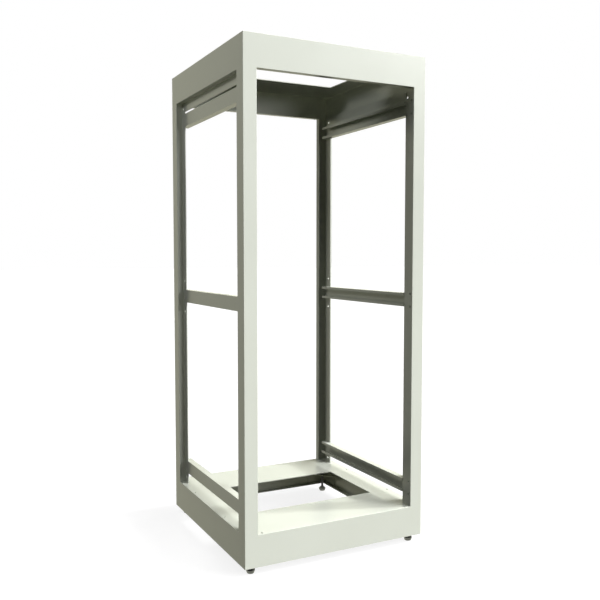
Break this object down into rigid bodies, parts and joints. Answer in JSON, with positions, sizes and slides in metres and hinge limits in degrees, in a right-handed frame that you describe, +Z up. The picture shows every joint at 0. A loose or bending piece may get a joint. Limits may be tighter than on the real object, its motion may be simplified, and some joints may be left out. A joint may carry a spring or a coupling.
{
  "type": "open frame server rack",
  "caption": "Open floor-standing frame of folded and welded sheet steel for rack equipment, with channel side rails and levelling feet.",
  "frame": {"origin": "on the floor, under the middle of the rack's footprint", "axes": "+X to the right seen from the front, +Y from the front to the rear, +Z up"},
  "size_m": [0.56, 0.5784, 1.4],
  "materials": {
    "painted_steel": "light grey powder coat, semi-gloss",
    "plated_steel": "zinc plated"
  },
  "bodies": {
    "root": {"front_left_post": "painted_steel", "front_right_post": "painted_steel", "rear_left_post": "painted_steel", "rear_right_post": "painted_steel", "base_front_beam": "painted_steel", "base_rear_beam": "painted_steel", "base_left_beam": "painted_steel", "base_right_beam": "painted_steel", "top_front_beam": "painted_steel", "top_rear_beam": "painted_steel", "top_left_beam": "painted_steel", "top_right_beam": "painted_steel", "left_lower_rail": "painted_steel", "left_middle_rail": "painted_steel", "left_upper_rail": "painted_steel", "right_lower_rail": "painted_steel", "right_middle_rail": "painted_steel", "right_upper_rail": "painted_steel", "front_left_foot_plate": "painted_steel", "front_right_foot_plate": "painted_steel", "rear_left_foot_plate": "painted_steel", "rear_right_foot_plate": "painted_steel", "front_left_foot_stem": "plated_steel", "front_left_foot_nut": "plated_steel", "front_left_foot_pad": "plated_steel", "front_right_foot_stem": "plated_steel", "front_right_foot_nut": "plated_steel", "front_right_foot_pad": "plated_steel", "rear_left_foot_stem": "plated_steel", "rear_left_foot_nut": "plated_steel", "rear_left_foot_pad": "plated_steel", "rear_right_foot_stem": "plated_steel", "rear_right_foot_nut": "plated_steel", "rear_right_foot_pad": "plated_steel"}
  },
  "joints": []
}
